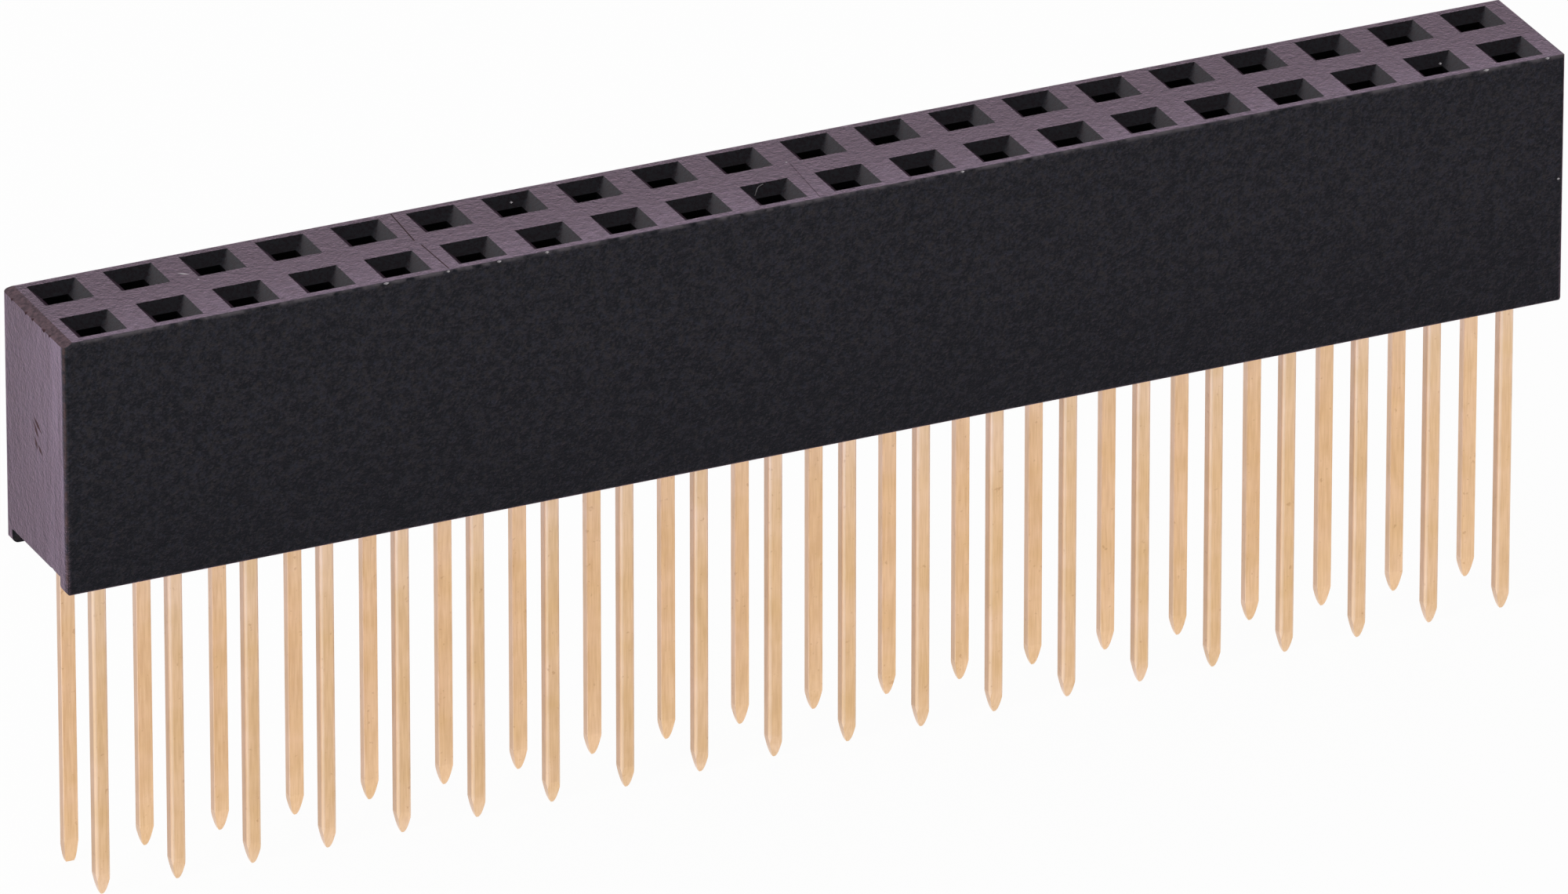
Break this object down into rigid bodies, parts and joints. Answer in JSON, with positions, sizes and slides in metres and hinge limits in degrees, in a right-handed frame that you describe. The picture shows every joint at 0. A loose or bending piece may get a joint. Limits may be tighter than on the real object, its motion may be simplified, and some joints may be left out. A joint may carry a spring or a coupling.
{
  "type": "stackable header socket",
  "caption": "Straight two-row pin socket with square funnelled openings in a slim moulded housing and long flat tails that plug into the next socket below.",
  "frame": {"origin": "centre of the pin field on the seating plane, level with the feet of the two skirts", "axes": "+X along the rows, -Y towards the front row, +Z out of the sockets, away from the board"},
  "size_m": [0.0512, 0.0046, 0.0194],
  "materials": {
    "housing_plastic": "matte black moulded thermoplastic with a fine even grain",
    "contact_plating": "stamped strip with a thin pale gold plating"
  },
  "bodies": {
    "root": {"housing": "housing_plastic", "contact_front_01": "contact_plating", "contact_front_02": "contact_plating", "contact_front_03": "contact_plating", "contact_front_04": "contact_plating", "contact_front_05": "contact_plating", "contact_front_06": "contact_plating", "contact_front_07": "contact_plating", "contact_front_08": "contact_plating", "contact_front_09": "contact_plating", "contact_front_10": "contact_plating", "contact_front_11": "contact_plating", "contact_front_12": "contact_plating", "contact_front_13": "contact_plating", "contact_front_14": "contact_plating", "contact_front_15": "contact_plating", "contact_front_16": "contact_plating", "contact_front_17": "contact_plating", "contact_front_18": "contact_plating", "contact_front_19": "contact_plating", "contact_front_20": "contact_plating", "contact_back_01": "contact_plating", "contact_back_02": "contact_plating", "contact_back_03": "contact_plating", "contact_back_04": "contact_plating", "contact_back_05": "contact_plating", "contact_back_06": "contact_plating", "contact_back_07": "contact_plating", "contact_back_08": "contact_plating", "contact_back_09": "contact_plating", "contact_back_10": "contact_plating", "contact_back_11": "contact_plating", "contact_back_12": "contact_plating", "contact_back_13": "contact_plating", "contact_back_14": "contact_plating", "contact_back_15": "contact_plating", "contact_back_16": "contact_plating", "contact_back_17": "contact_plating", "contact_back_18": "contact_plating", "contact_back_19": "contact_plating", "contact_back_20": "contact_plating"}
  },
  "joints": []
}
